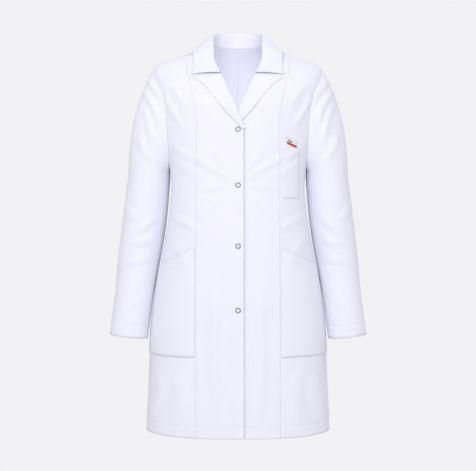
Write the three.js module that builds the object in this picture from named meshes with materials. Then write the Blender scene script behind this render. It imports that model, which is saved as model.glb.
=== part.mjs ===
// Women's lab coat with notched lapels, princess seams, two hip pockets, a chest pocket and snap fasteners.
// Millimetres. +Z is up, the coat's front faces -Y, the wearer's right side is -X.
// The origin is the nape: the middle of the back neck seam.

import * as THREE from 'three';

// ---------------------------------------------------------------- driving dimensions

const coatLength = 840; // nape to hem
const hemHalfWidth = 200;
const chestHalfWidth = 149; // at the armpits
const waistHalfWidth = 146.5;
const shoulderHalfWidth = 184.6; // centre back to shoulder tip
const shoulderDrop = 53; // nape level down to the shoulder tip
const neckHalfWidth = 52;
const armpitDrop = 278; // nape level down to the armpit
const frontAtBreak = -170; // y of the front at the fold line, level with the top of the opening
const frontAtHem = -203; // the same line's y at the hem
const backAtHem = 70;
const sideY = -68; // y of the side seams
const openingTop = -185; // height of the top of the swinging fronts

const clothT = 1.0; // one layer of cloth
const tagT = 0.8;
const seamGap = 0.6; // across a seam
const layerGap = 0.4; // between stacked layers
const cutGap = 1.4; // between each fixed chest and the swinging front below it

const princessHalfWidth = 88; // princess seams below the bust
const princessAtShoulder = 113;
const foldAtNape = 50; // the line that each front swings about, level with the nape
const foldAtHem = 86;
const topFrontEdge = 13; // wearer's right front, past the centre line
const underFrontEdge = -16; // wearer's left front, past the centre line on the other side
const facingWidth = 52;

const snapHeights = [-200, -317, -444, -577];
const snapRadius = 5.8;
const snapHole = 3.7;
const ringT = 0.9;
const socketT = 1.6;
const socketRecess = 1.1;
const socketBore = 3.2;
const studFlangeT = 0.5;
const studHeadR = 2.1;
const studHeadH = 1.0;
const snapGap = 0.3;

const sleeveGap = 0.9; // sleeve head to armhole
const sleeveLength = 585; // shoulder tip down to the middle of the cuff
const cuffHalfWidth = 41;
const cuffHalfDepth = 42;
const bicepHalfWidth = 46;
const bicepHalfDepth = 57;

const hipPocketTop = -448; // mouth at the princess seam
const hipPocketTopSide = -489; // mouth at the side seam
const hipPocketBottom = -675;
const chestPocket = { inner: 93, outer: 129, topInner: -214, topOuter: -240, bottom: -344 };
const tagSize = { width: 20, height: 13, tilt: -22 };

// the layers at a snap, outermost first, give how deep the under front lies
const underlapDepth = 2 * clothT + layerGap + 3 * snapGap + socketT + studFlangeT;

const white = new THREE.MeshStandardMaterial({ color: 0xf4f5fb, roughness: 0.85, metalness: 0 });
const metal = new THREE.MeshStandardMaterial({ color: 0xb9bbc0, roughness: 0.3, metalness: 1 });
const tagRed = new THREE.MeshStandardMaterial({ color: 0xd03030, roughness: 0.8, metalness: 0 });

// ---------------------------------------------------------------- the torso as stacked rings

// Each ring: height at the side, front and back, half width, y at side, front and back, squareness.
const hemZ = -coatLength;
const armpitZ = -armpitDrop;
const midShoulder = (neckHalfWidth + shoulderHalfWidth) / 2;
const rings = [
  { zs: 0, zf: -60, zb: 0, a: neckHalfWidth, ys: -55, yf: -112, yb: 0, n: 2 },
  { zs: -24, zf: -85, zb: -30, a: midShoulder, ys: -57, yf: -132, yb: 19, n: 2 },
  { zs: -shoulderDrop, zf: -112, zb: -66, a: shoulderHalfWidth, ys: -60, yf: -150, yb: 34, n: 2.1 },
  { zs: -115, zf: -142, zb: -125, a: shoulderHalfWidth - 1, ys: -63, yf: -168, yb: 45, n: 2.2 },
  { zs: -200, zf: -202, zb: -202, a: chestHalfWidth + 22, ys: -66, yf: -180, yb: 50, n: 2.3 },
  { zs: armpitZ, zf: armpitZ, zb: armpitZ, a: chestHalfWidth, ys: sideY, yf: -184, yb: 47, n: 2.5 },
  { zs: -340, zf: -340, zb: -340, a: waistHalfWidth, ys: sideY, yf: -186, yb: 36, n: 2.6 },
  { zs: -440, zf: -440, zb: -440, a: 161, ys: sideY, yf: -190, yb: 48, n: 2.5 },
  { zs: -540, zf: -540, zb: -540, a: 179, ys: sideY, yf: -196, yb: 60, n: 2.4 },
  { zs: -650, zf: -650, zb: -650, a: hemHalfWidth - 9, ys: sideY, yf: -200, yb: 66, n: 2.4 },
  { zs: hemZ, zf: hemZ, zb: hemZ, a: hemHalfWidth, ys: sideY, yf: frontAtHem - 6, yb: backAtHem, n: 2.4 },
];
const tipRing = 2;
const armpitRing = 5;
const hemRing = rings.length - 1;

const clamp = (x, low, high) => Math.min(high, Math.max(low, x));
const mix = (a, b, w) => a + (b - a) * w;
const ease = (x) => { const t = clamp(x, 0, 1); return t * t * (3 - 2 * t); };

function catmullRom(values, s) {
  const last = values.length - 1;
  const k = clamp(Math.floor(s), 0, last - 1);
  const w = s - k;
  const b = values[k];
  const c = values[k + 1];
  const a = k > 0 ? values[k - 1] : 2 * b - c;
  const d = k + 2 <= last ? values[k + 2] : 2 * c - b;
  return b + 0.5 * w * (c - a + w * (2 * a - 5 * b + 4 * c - d + w * (3 * (b - c) + d - a)));
}

// the straight line that each front hangs along and swings about: its x and y at a height
const foldX = (z) => mix(foldAtNape, foldAtHem, z / hemZ);
const foldY = (z) => mix(frontAtBreak, frontAtHem, (openingTop - z) / (openingTop - hemZ));

function ringAt(v) {
  const ring = {};
  for (const key of Object.keys(rings[0])) ring[key] = catmullRom(rings.map((r) => r[key]), v);
  // from the opening down, the front passes through the fold line, so the fronts can turn about it
  const sine = (foldX(ring.zf) / Math.max(ring.a, 2 * foldAtNape)) ** (ring.n / 2);
  const cosine = Math.sqrt(1 - sine * sine) ** (2 / ring.n);
  const foldZ = ring.zs + (ring.zf - ring.zs) * (1 - sine * sine);
  const straight = ring.ys + (foldY(foldZ) - ring.ys) / cosine;
  ring.yf = mix(ring.yf, straight, ease((v - 2.4) / 1.1));
  return ring;
}

// a point of the coat's outer surface: turn 0 is centre front, +-PI/2 the sides, +-PI centre back
function torsoPoint(turn, v) {
  const ring = ringAt(v);
  const s = Math.sin(turn);
  const c = Math.cos(turn);
  const depth = Math.abs(c) ** (2 / ring.n);
  const frontSide = c > 0;
  return new THREE.Vector3(
    Math.sign(s) * ring.a * Math.abs(s) ** (2 / ring.n),
    ring.ys + ((frontSide ? ring.yf : ring.yb) - ring.ys) * depth,
    ring.zs + ((frontSide ? ring.zf : ring.zb) - ring.zs) * c * c,
  );
}

function torsoNormal(turn, v) {
  const step = 0.004;
  const v0 = Math.min(v, hemRing - step);
  const around = torsoPoint(turn + step, v0).sub(torsoPoint(turn - step, v0));
  const down = torsoPoint(turn, v0 + step).sub(torsoPoint(turn, v0));
  return down.cross(around).normalize();
}

const onTorso = ([turn, v], lift) => torsoPoint(turn, v).addScaledVector(torsoNormal(turn, v), lift);

// turn and ring number of the front surface's point at a given x and height
function frontSpot(x, z) {
  const turnFor = (v) => {
    const ring = ringAt(v);
    return Math.sign(x) * Math.asin(Math.min(1, Math.abs(x) / ring.a) ** (ring.n / 2));
  };
  let low = 0;
  let high = hemRing;
  for (let i = 0; i < 40; i += 1) {
    const mid = (low + high) / 2;
    if (torsoPoint(turnFor(mid), mid).z > z) low = mid;
    else high = mid;
  }
  return [turnFor(low), low];
}

// ring number of a height on the flat lower rings
function ringNumber(z) {
  let low = armpitRing - 1;
  let high = hemRing;
  for (let i = 0; i < 40; i += 1) {
    const mid = (low + high) / 2;
    if (ringAt(mid).zs > z) low = mid;
    else high = mid;
  }
  return low;
}

// how far the wearer's left front lies under the right one
const underlap = (x) => -underlapDepth * (1 - ease((x - 18) / 30));

// ---------------------------------------------------------------- shells

// a point deep inside the coat, which tells a panel's inner side from its outer side
const coatCore = new THREE.Vector3(0, sideY, -coatLength / 2);

// closed shell of one thickness behind an outer skin; wrapU closes it into a tube
function shell(pointAt, nu, nv, thickness, { wrapU = false, coreAt = () => coatCore } = {}) {
  const columns = wrapU ? nu : nu + 1;
  const outer = [];
  for (let j = 0; j <= nv; j += 1) {
    for (let i = 0; i < columns; i += 1) outer.push(pointAt(i / nu, j / nv));
  }
  const at = (i, j) => {
    const column = wrapU ? (i + columns) % columns : clamp(i, 0, nu);
    return outer[clamp(j, 0, nv) * columns + column];
  };
  const inner = outer.map((p, k) => {
    const i = k % columns;
    const j = Math.floor(k / columns);
    const du = at(i + 1, j).clone().sub(at(i - 1, j));
    const dv = at(i, j + 1).clone().sub(at(i, j - 1));
    const core = wrapU ? at(i, j).clone().lerp(at(i + nu / 2, j), 0.5) : coreAt(p);
    const inward = du.cross(dv).normalize();
    if (inward.dot(p.clone().sub(core)) > 0) inward.negate();
    return p.clone().addScaledVector(inward, thickness);
  });
  const positions = outer.concat(inner).flatMap((p) => [p.x, p.y, p.z]);
  const index = [];
  const quad = (a, b, c, d) => index.push(a, b, c, a, c, d);
  const id = (i, j, side) => side * outer.length + j * columns + (wrapU ? i % columns : i);
  for (let j = 0; j < nv; j += 1) {
    for (let i = 0; i < nu; i += 1) {
      quad(id(i, j, 0), id(i, j + 1, 0), id(i + 1, j + 1, 0), id(i + 1, j, 0));
      quad(id(i, j, 1), id(i + 1, j, 1), id(i + 1, j + 1, 1), id(i, j + 1, 1));
    }
  }
  for (let i = 0; i < nu; i += 1) {
    quad(id(i, 0, 0), id(i + 1, 0, 0), id(i + 1, 0, 1), id(i, 0, 1));
    quad(id(i, nv, 0), id(i, nv, 1), id(i + 1, nv, 1), id(i + 1, nv, 0));
  }
  if (!wrapU) {
    for (let j = 0; j < nv; j += 1) {
      quad(id(0, j, 0), id(0, j, 1), id(0, j + 1, 1), id(0, j + 1, 0));
      quad(id(nu, j, 0), id(nu, j + 1, 0), id(nu, j + 1, 1), id(nu, j, 1));
    }
  }
  return facingOut(positions, index);
}

// turns a closed mesh the right way round by the sign of its volume
function facingOut(positions, index) {
  let volume = 0;
  const corner = (k) => new THREE.Vector3().fromArray(positions, 3 * k);
  for (let k = 0; k < index.length; k += 3) {
    volume += corner(index[k]).dot(corner(index[k + 1]).cross(corner(index[k + 2])));
  }
  if (volume < 0) index.reverse();
  const geometry = new THREE.BufferGeometry();
  geometry.setAttribute('position', new THREE.Float32BufferAttribute(positions, 3));
  geometry.setIndex(index);
  geometry.computeVertexNormals();
  return geometry;
}

const coat = new THREE.Group();

function add(name, geometry, material = white) {
  const mesh = new THREE.Mesh(geometry, material);
  mesh.name = name;
  coat.add(mesh);
  return mesh;
}

// a smooth curve through a few chosen points
function curveThrough(points) {
  return new THREE.CatmullRomCurve3(points.map((p) => new THREE.Vector3(...p)), false, 'centripetal');
}

// patch of cloth on the torso between two edges given as [turn, ring number] along its length
function torsoPatch(edgeA, edgeB, liftAt, nu, nv, thickness = clothT) {
  return shell((u, w) => {
    const a = edgeA(w);
    const b = edgeB(w);
    const spot = [mix(a[0], b[0], u), mix(a[1], b[1], u)];
    return onTorso(spot, liftAt(torsoPoint(...spot).x));
  }, nu, nv, thickness);
}

// ---------------------------------------------------------------- edges of the panels

const princessX = (z) => mix(princessHalfWidth, princessAtShoulder, ease((z - openingTop) / 157));
const shoulderRingFor = (x) => {
  let low = 0;
  let high = tipRing;
  for (let i = 0; i < 30; i += 1) {
    const mid = (low + high) / 2;
    if (ringAt(mid).a < x) low = mid;
    else high = mid;
  }
  return low;
};
const princessTopRing = shoulderRingFor(princessAtShoulder);
const princessTopZ = ringAt(princessTopRing).zs;

// turn of a line that runs a distance beside the princess seam, at a height
function princessEdge(z, beside) {
  if (z >= princessTopZ) return [Math.PI / 2, shoulderRingFor(princessAtShoulder + beside)];
  return frontSpot(princessX(z) + beside, z);
}

// armhole: how far the seam leaves the side line, front and back
const armholeFront = 0.56;
const armholeBack = 0.46;
const armholeRing = (k) => mix(tipRing, armpitRing, (1 - Math.cos(Math.PI * k)) / 2);
const armholeSwing = (k) => Math.sqrt(Math.max(0, Math.sin(Math.PI * (1 - Math.cos(Math.PI * k)) / 2)));
const armholeSpot = (k, front) => [
  Math.PI / 2 + (front ? -armholeFront : armholeBack) * armholeSwing(k),
  armholeRing(k),
];

const armholeShare = 0.42; // share of a panel's rows that lie beside the armhole
const sideEdge = (front) => (w) => (w < armholeShare
  ? armholeSpot(w / armholeShare, front)
  : [Math.PI / 2, mix(armpitRing, hemRing, (w - armholeShare) / (1 - armholeShare))]);

// ---------------------------------------------------------------- body panels

const mirrored = (edge, side) => (w) => { const [turn, v] = edge(w); return [side * turn, v]; };
const sides = [{ word: 'right', side: -1 }, { word: 'left', side: 1 }];
const halfSeam = seamGap / 2;

// half a seam's gap as a turn: beside the side and shoulder seams, and beside centre back
function seamTurn(v, front) {
  const ring = ringAt(v);
  return (1.3 * halfSeam / Math.abs((front ? ring.yf : ring.yb) - ring.ys)) ** (ring.n / 2);
}
const centreBackTurn = (v) => Math.PI - (halfSeam / ringAt(v).a) ** (ringAt(v).n / 2);

function sideFront(side) {
  const inner = (w) => {
    const z = mix(princessTopZ, hemZ, w < armholeShare
      ? ease(w / armholeShare) * 0.32 : mix(0.32, 1, (w - armholeShare) / (1 - armholeShare)));
    const [turn, v] = w === 0 ? [Math.PI / 2, shoulderRingFor(princessAtShoulder + halfSeam)]
      : princessEdge(z, halfSeam);
    return [Math.min(turn, Math.PI / 2 - seamTurn(v, true)), v];
  };
  const outer = (w) => {
    const [turn, v] = sideEdge(true)(w);
    return [Math.min(turn, Math.PI / 2 - seamTurn(v, true)), v];
  };
  return torsoPatch(mirrored(inner, side), mirrored(outer, side), () => 0, 7, 24);
}

// the top edge runs along the neck seam, then along the shoulder seam to the tip
function back(side) {
  const neckShare = 0.4;
  const centreRing = (w) => (w < armholeShare ? (w / armholeShare) * armpitRing
    : mix(armpitRing, hemRing, (w - armholeShare) / (1 - armholeShare)));
  return shell((u, w) => {
    const top = u < neckShare ? [mix(Math.PI, Math.PI / 2, u / neckShare), 0]
      : [Math.PI / 2, ((u - neckShare) / (1 - neckShare)) * tipRing];
    const straightTop = [mix(Math.PI, Math.PI / 2, u), mix(0, tipRing, u)];
    const outer = sideEdge(false)(w);
    const fade = 1 - ease(w / armholeShare);
    const turn = mix(Math.PI, outer[0], u) + (top[0] - straightTop[0]) * fade;
    const v = Math.max(0, mix(centreRing(w), outer[1], u) + (top[1] - straightTop[1]) * fade);
    return onTorso([side * clamp(turn, Math.PI / 2 + seamTurn(v, false), centreBackTurn(v)), v], 0);
  }, 12, 24, clothT);
}

// the roll line, where each front folds back into its lapel, as x and height on the wearer's left
const rollTop = [51, -42];
const rollBottom = [-11, -192];
const rollX = (z) => (z > rollTop[1] ? mix(rollTop[0], neckHalfWidth, (z - rollTop[1]) / -rollTop[1])
  : mix(rollTop[0], rollBottom[0], (z - rollTop[1]) / (rollBottom[1] - rollTop[1])));

const chestBottom = openingTop + cutGap;
const liftFor = (side) => (x) => (side > 0 ? underlap(x) : 0);

// Each chest runs from the shoulder seam down the roll line, out along its cut above the swinging front,
// and on down to the hem as the strip between the fold line and the princess seam.
function chest(side) {
  const rollShare = 0.4;
  const cutShare = 0.52;
  const cutX = rollX(chestBottom);
  const neck = (w) => {
    if (w === 0) return [Math.PI / 2 - seamTurn(0, true), 0];
    if (w <= rollShare) {
      const z = mix(-1, chestBottom, w / rollShare);
      return frontSpot(rollX(z), z);
    }
    if (w < cutShare) {
      const out = (w - rollShare) / (cutShare - rollShare);
      return frontSpot(mix(cutX, foldX(chestBottom) + halfSeam, out), chestBottom);
    }
    const z = mix(chestBottom, hemZ, (w - cutShare) / (1 - cutShare));
    return frontSpot(foldX(z) + halfSeam, z);
  };
  const princess = (w) => {
    const z = w < cutShare ? mix(princessTopZ, chestBottom, w / cutShare)
      : mix(chestBottom, hemZ, (w - cutShare) / (1 - cutShare));
    const [turn, v] = w === 0 ? [Math.PI / 2, shoulderRingFor(princessAtShoulder - halfSeam)]
      : princessEdge(z, -halfSeam);
    return [Math.min(turn, Math.PI / 2 - seamTurn(v, true)), v];
  };
  return torsoPatch(mirrored(neck, side), mirrored(princess, side), liftFor(side), 8, 25);
}

// cloth on the front from an upright edge out to another edge
function frontStrip(side, xInner, outerX, top, bottom, lift, nu, nv, thickness = clothT) {
  return shell((u, w) => {
    const z = mix(top, bottom, w);
    const x = mix(xInner, outerX(z), u);
    return onTorso(frontSpot(side * x, z), lift + liftFor(side)(x));
  }, nu, nv, thickness);
}

for (const { word, side } of sides) {
  const edge = side < 0 ? -topFrontEdge : underFrontEdge; // measured towards this side
  const facingLift = -(clothT + layerGap);
  const facingTop = openingTop - 1;
  add(`${word}_back`, back(side));
  add(`${word}_side_front`, sideFront(side));
  add(`${word}_chest`, chest(side));
  const outer = (z) => foldX(z) - halfSeam;
  const facingEdge = () => edge + facingWidth;
  add(`${word}_front`, frontStrip(side, edge, outer, openingTop, hemZ, 0, 9, 16));
  add(`${word}_facing`, frontStrip(side, edge + 1, facingEdge, facingTop, hemZ + 1, facingLift, 5, 16));
}

// ---------------------------------------------------------------- lapels and collar

const lapelLift = clothT + 2 * layerGap;
const gorgeZ = -75;
const lapelEdge = curveThrough([
  [99, 0, -80], [69, 0, -106], [36, 0, -150], [17, 0, -171], [4, 0, chestBottom],
]);

function lapel(side) {
  return shell((u, w) => {
    const z = mix(gorgeZ, chestBottom, w);
    const free = lapelEdge.getPoint(w);
    const x = mix(rollX(z), free.x, u);
    const height = mix(z, free.z, u);
    return onTorso(frontSpot(side * x, height), lapelLift + liftFor(side)(x));
  }, 6, 18, clothT);
}

// the collar's roll edge and its free edge, from the wearer's left notch round to centre back
const rollHeight = 38; // of the collar at centre back
const onFront = (x, z, lift) => onTorso(frontSpot(x, z), lift).toArray();
const rollEdge = [
  onFront(rollX(gorgeZ + seamGap), gorgeZ + seamGap, lapelLift),
  onFront(rollTop[0], rollTop[1], lapelLift + 2),
  [53, -84, -8],
  [54, -50, rollHeight - 17],
  [41, -12, rollHeight - 4],
  [21, 2, rollHeight - 1],
  [0, 6, rollHeight],
];
const collarLift = 2.4; // of the collar's free edge over the back
const onBack = [[0.5, 0.74], [0.64, 0.8], [0.8, 0.87], [1, 0.92]]; // shares of half a turn, ring numbers
const freeEdge = [
  onFront(100, gorgeZ - 3 + seamGap, lapelLift),
  onFront(96, -56, lapelLift),
  onFront(98, -30, lapelLift + 3),
  ...onBack.map(([share, v]) => onTorso([Math.PI * share, v], collarLift).toArray()),
];
function mirrorHalf(points) {
  const otherHalf = points.slice(0, -1).reverse().map(([x, y, z]) => [-x, y, z]);
  return curveThrough(points.concat(otherHalf));
}
const rollCurve = mirrorHalf(rollEdge);
const freeCurve = mirrorHalf(freeEdge);

function collarLeaf() {
  return shell((u, w) => {
    const a = rollCurve.getPoint(w);
    const b = freeCurve.getPoint(w);
    const p = a.clone().lerp(b, u);
    // over the chest the leaf follows the cloth under it
    if (p.z < -12 && p.y < -62) {
      const resting = onTorso(frontSpot(p.x, p.z), lapelLift + 0.3);
      p.y = Math.min(p.y, resting.y - 0.8 * ease((p.z - gorgeZ - 12) / 20));
    }
    return p;
  }, 5, 40, clothT);
}

function collarStand() {
  const standTop = 2; // below the roll edge
  const startTurn = Math.PI / 2;
  return shell((u, w) => {
    const turn = mix(startTurn, 2 * Math.PI - startTurn, w);
    const seam = torsoPoint(turn, 0);
    const across = clamp(seam.x / neckHalfWidth, -1, 1);
    const top = rollCurve.getPoint(mix(0.25, 0.75, w));
    const bottom = seam.clone();
    bottom.z += seamGap + 0.3;
    bottom.x -= across * 0.4;
    top.z -= standTop;
    top.x -= across * 1.6;
    top.y -= 1.6 * (1 - Math.abs(across));
    return bottom.lerp(top, u);
  }, 3, 28, clothT, { coreAt: (p) => new THREE.Vector3(0, rings[0].ys, p.z) });
}

for (const { word, side } of sides) add(`${word}_lapel`, lapel(side));
add('upper_collar', collarLeaf());
add('under_collar', collarStand());

// ---------------------------------------------------------------- pockets and tag

const pocketLift = clothT + 2 * layerGap;

function hipPocket(side) {
  const inner = princessHalfWidth + 2;
  return shell((u, w) => {
    const mouth = mix(hipPocketTop, hipPocketTopSide, Math.sin(u * Math.PI / 2));
    const z = mix(mouth, hipPocketBottom, w);
    const v = ringNumber(z);
    const start = Math.asin((inner / ringAt(v).a) ** (ringAt(v).n / 2));
    const turn = mix(start, Math.PI / 2 - 0.014, u);
    return onTorso([side * turn, v], pocketLift);
  }, 7, 8, clothT);
}

function breastPocket() {
  const { inner, outer, topInner, topOuter, bottom } = chestPocket;
  return shell((u, w) => {
    const z = mix(mix(topInner, topOuter, u), bottom, w);
    return onTorso(frontSpot(mix(inner, outer, u), z), pocketLift);
  }, 4, 8, clothT);
}

function wovenTag() {
  const lean = THREE.MathUtils.degToRad(tagSize.tilt);
  const start = { x: chestPocket.inner + 9, z: chestPocket.topInner - 9 };
  return shell((u, w) => {
    const x = start.x + u * tagSize.width * Math.cos(lean);
    const z = start.z + u * tagSize.width * Math.sin(lean) - w * tagSize.height;
    return onTorso(frontSpot(x, z), pocketLift + layerGap + tagT);
  }, 3, 2, tagT);
}

for (const { word, side } of sides) add(`${word}_hip_pocket`, hipPocket(side));
add('chest_pocket', breastPocket());
add('woven_tag', wovenTag(), tagRed);

// ---------------------------------------------------------------- sleeves

const loopHalf = 8; // armhole points on each half, tip to armpit
const armCentre = curveThrough([
  [195, sideY + 1, -armpitDrop - 14],
  [205, sideY - 2, -388],
  [218, sideY - 8, -485],
  [226, sideY - 18, -550],
  [236.5, sideY - 32, -sleeveLength - shoulderDrop],
]);
const headRows = 6;
const armRows = 9;
const cuffLean = 0.117;

function sleeve(side) {
  return shell((u, w) => {
    const j = Math.round(u * 2 * loopHalf) % (2 * loopHalf);
    const front = j <= loopHalf;
    const k = front ? j / loopHalf : (2 * loopHalf - j) / loopHalf;
    const angle = (Math.PI * j) / loopHalf;
    const armRow = (row) => {
      const c = armCentre.getPoint(row);
      const swell = 4 * Math.sin(Math.PI * Math.min(1, row * 1.3));
      const hx = mix(bicepHalfWidth + swell, cuffHalfWidth, ease(row));
      const hy = mix(bicepHalfDepth, cuffHalfDepth, row);
      const dx = hx * Math.cos(angle);
      return new THREE.Vector3(c.x + dx, c.y - hy * Math.sin(angle), c.z + dx * cuffLean * row);
    };
    const headShare = headRows / (headRows + armRows);
    let p;
    if (w < headShare - 1e-9) {
      const start = torsoPoint(...armholeSpot(k, front));
      start.x += sleeveGap;
      const end = armRow(0);
      const span = start.distanceTo(end);
      const leave = start.clone().addScaledVector(new THREE.Vector3(0.5, 0, -0.87), 0.36 * span);
      const arrive = end.clone().addScaledVector(new THREE.Vector3(0, 0, 1), 0.33 * span);
      p = new THREE.CubicBezierCurve3(start, leave, arrive, end).getPoint(w / headShare);
    } else {
      p = armRow((w - headShare) / (1 - headShare));
    }
    p.x *= side;
    return p;
  }, 2 * loopHalf, headRows + armRows, clothT, { wrapU: true });
}

for (const { word, side } of sides) add(`${word}_sleeve`, sleeve(side));

// ---------------------------------------------------------------- snap fasteners

const lathe = (profile) => new THREE.LatheGeometry(profile.map(([r, h]) => new THREE.Vector2(r, h)), 12);

// each profile is r and height along the outward direction, from its own lowest face
const ringProfile = [
  [snapHole, 0], [snapRadius, 0], [snapRadius, ringT * 0.6], [(snapHole + snapRadius) / 2, ringT],
  [snapHole, ringT * 0.6], [snapHole, 0],
];
const socketProfile = [
  [0, socketRecess], [socketBore, socketRecess], [socketBore, 0], [snapRadius - 0.5, 0],
  [snapRadius - 0.5, socketT], [0, socketT],
];
const studProfile = [
  [0, 0], [snapRadius - 0.5, 0], [snapRadius - 0.5, studFlangeT], [studHeadR, studFlangeT],
  [studHeadR, studFlangeT + studHeadH], [0, studFlangeT + studHeadH],
];

function snapPart(name, profile, spot, lift) {
  const mesh = add(name, lathe(profile), metal);
  mesh.position.copy(onTorso(spot, lift));
  mesh.quaternion.setFromUnitVectors(new THREE.Vector3(0, 1, 0), torsoNormal(...spot));
}

snapHeights.forEach((z, k) => {
  const spot = frontSpot(0, z);
  const socketLift = -(2 * clothT + layerGap + snapGap + socketT);
  const studLift = socketLift - snapGap - studFlangeT;
  const backLift = -(underlapDepth + 2 * clothT + layerGap + snapGap + ringT);
  snapPart(`snap_cap_${k + 1}`, ringProfile, spot, snapGap);
  snapPart(`snap_socket_${k + 1}`, socketProfile, spot, socketLift);
  snapPart(`snap_stud_${k + 1}`, studProfile, spot, studLift);
  snapPart(`snap_back_ring_${k + 1}`, ringProfile, spot, backLift);
});

export default coat;
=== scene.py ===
import math

import bpy
import bmesh
import numpy as np
from mathutils import Matrix, Vector, kdtree
from mathutils.bvhtree import BVHTree


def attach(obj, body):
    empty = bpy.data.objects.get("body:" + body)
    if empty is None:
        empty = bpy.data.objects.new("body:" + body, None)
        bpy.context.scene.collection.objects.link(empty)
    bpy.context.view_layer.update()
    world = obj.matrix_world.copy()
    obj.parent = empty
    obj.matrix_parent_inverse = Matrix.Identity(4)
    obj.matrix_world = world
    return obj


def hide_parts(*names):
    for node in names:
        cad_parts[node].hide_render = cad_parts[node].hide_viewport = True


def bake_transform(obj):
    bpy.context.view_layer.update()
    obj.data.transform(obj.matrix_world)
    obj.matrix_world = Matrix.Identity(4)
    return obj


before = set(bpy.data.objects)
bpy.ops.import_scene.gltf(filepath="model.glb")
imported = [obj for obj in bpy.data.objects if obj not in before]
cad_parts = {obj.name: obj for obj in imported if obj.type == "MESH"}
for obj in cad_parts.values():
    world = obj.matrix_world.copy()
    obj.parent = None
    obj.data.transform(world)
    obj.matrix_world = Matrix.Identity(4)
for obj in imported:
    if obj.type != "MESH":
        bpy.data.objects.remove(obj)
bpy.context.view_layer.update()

# A women's lab coat. Metres, +Z up, the front faces -Y, the wearer's right side is -X.
# The origin is the nape, in the middle of the back neck seam.

scene = bpy.context.scene

# the coat's shape, the same stacked rings as the frame's solids

coat = {
    "length": 0.840,          # nape to hem
    "sideY": -0.068,
    "neckHalf": 0.052,
    "armpit": -0.278,
    "openingTop": -0.185,     # where the fronts start to swing
    "princess": 0.088,        # princess seams below the bust
    "princessTop": 0.113,     # and at the shoulder seam
    "foldNape": 0.050,        # the line each front swings about
    "foldHem": 0.086,
    "foldYTop": -0.170,
    "foldYHem": -0.203,
    "cloth": 0.0005,
    "underlap": 0.0053,       # how deep the wearer's left front lies under the right
    "topEdge": 0.013,         # wearer's right front, past the centre line
    "underEdge": 0.016,       # wearer's left front, past the centre line
    "breakZ": -0.199,         # where the lapels turn back
}

# height at side, front, back; half width; y at side, front, back; squareness
rings = np.array([
    (0, -60, 0, 52, -55, -112, 0, 2.0),
    (-24, -85, -30, 118.3, -57, -132, 19, 2.0),
    (-53, -112, -66, 184.6, -60, -150, 34, 2.1),
    (-115, -142, -125, 183.6, -63, -168, 45, 2.2),
    (-200, -202, -202, 171, -66, -180, 50, 2.3),
    (-278, -278, -278, 149, -68, -184, 47, 2.5),
    (-340, -340, -340, 146.5, -68, -186, 36, 2.6),
    (-440, -440, -440, 161, -68, -190, 48, 2.5),
    (-540, -540, -540, 179, -68, -196, 60, 2.4),
    (-650, -650, -650, 191, -68, -200, 66, 2.4),
    (-840, -840, -840, 200, -68, -209, 70, 2.4),
])
rings[:, :7] /= 1000
tipRing = 2
armpitRing = 5
hemRing = len(rings) - 1
hemZ = -coat["length"]


def mix(a, b, w):
    return a + (b - a) * w


def ease(x):
    t = np.clip(x, 0, 1)
    return t * t * (3 - 2 * t)


# a smooth curve through values, or through the rows of a grid, at row numbers s
def catmullRom(values, s):
    padded = np.concatenate([2 * values[:1] - values[1:2], values, 2 * values[-1:] - values[-2:-1]])
    k = np.clip(np.floor(s).astype(int), 0, len(values) - 2)
    w = np.reshape(s - k, np.shape(s) + (1,) * (values.ndim - 1))
    a, b, c, d = padded[k], padded[k + 1], padded[k + 2], padded[k + 3]
    return b + 0.5 * w * (c - a + w * (2 * a - 5 * b + 4 * c - d + w * (3 * (b - c) + d - a)))


def runLengths(steps):
    return np.concatenate([[0], np.cumsum(steps)])


def curvePoints(points, s):
    points = np.asarray(points, float)
    return catmullRom(points, np.asarray(s, float) * (len(points) - 1))


def foldX(z):
    return mix(coat["foldNape"], coat["foldHem"], z / hemZ)


def ringAt(v):
    zs, zf, zb, a, ys, yf, yb, n = np.moveaxis(catmullRom(rings, np.asarray(v, float)), -1, 0)
    sine = (foldX(zf) / np.maximum(a, 2 * coat["foldNape"])) ** (n / 2)
    cosine = np.sqrt(1 - sine * sine) ** (2 / n)
    foldZ = zs + (zf - zs) * (1 - sine * sine)
    share = (coat["openingTop"] - foldZ) / (coat["openingTop"] - hemZ)
    straight = ys + (mix(coat["foldYTop"], coat["foldYHem"], share) - ys) / cosine
    return zs, zf, zb, a, ys, mix(yf, straight, ease((v - 2.4) / 1.1)), yb, n


def torsoPoint(turn, v):
    turn, v = np.broadcast_arrays(np.asarray(turn, float), np.asarray(v, float))
    zs, zf, zb, a, ys, yf, yb, n = ringAt(v)
    s, c = np.sin(turn), np.cos(turn)
    x = np.sign(s) * a * np.abs(s) ** (2 / n)
    y = ys + (np.where(c > 0, yf, yb) - ys) * np.abs(c) ** (2 / n)
    z = zs + (np.where(c > 0, zf, zb) - zs) * c * c
    return np.stack([x, y, z], -1)


def torsoNormal(turn, v):
    step = 0.004
    low = np.minimum(v, hemRing - step)
    around = torsoPoint(turn + step, low) - torsoPoint(turn - step, low)
    down = torsoPoint(turn, low + step) - torsoPoint(turn, low)
    n = np.cross(down, around)
    return n / np.linalg.norm(n, axis=-1, keepdims=True)


def onTorso(turn, v, lift):
    lift = np.asarray(lift, float) + np.zeros(np.broadcast(turn, v).shape)
    return torsoPoint(turn, v) + torsoNormal(turn, v) * lift[..., None]


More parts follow.
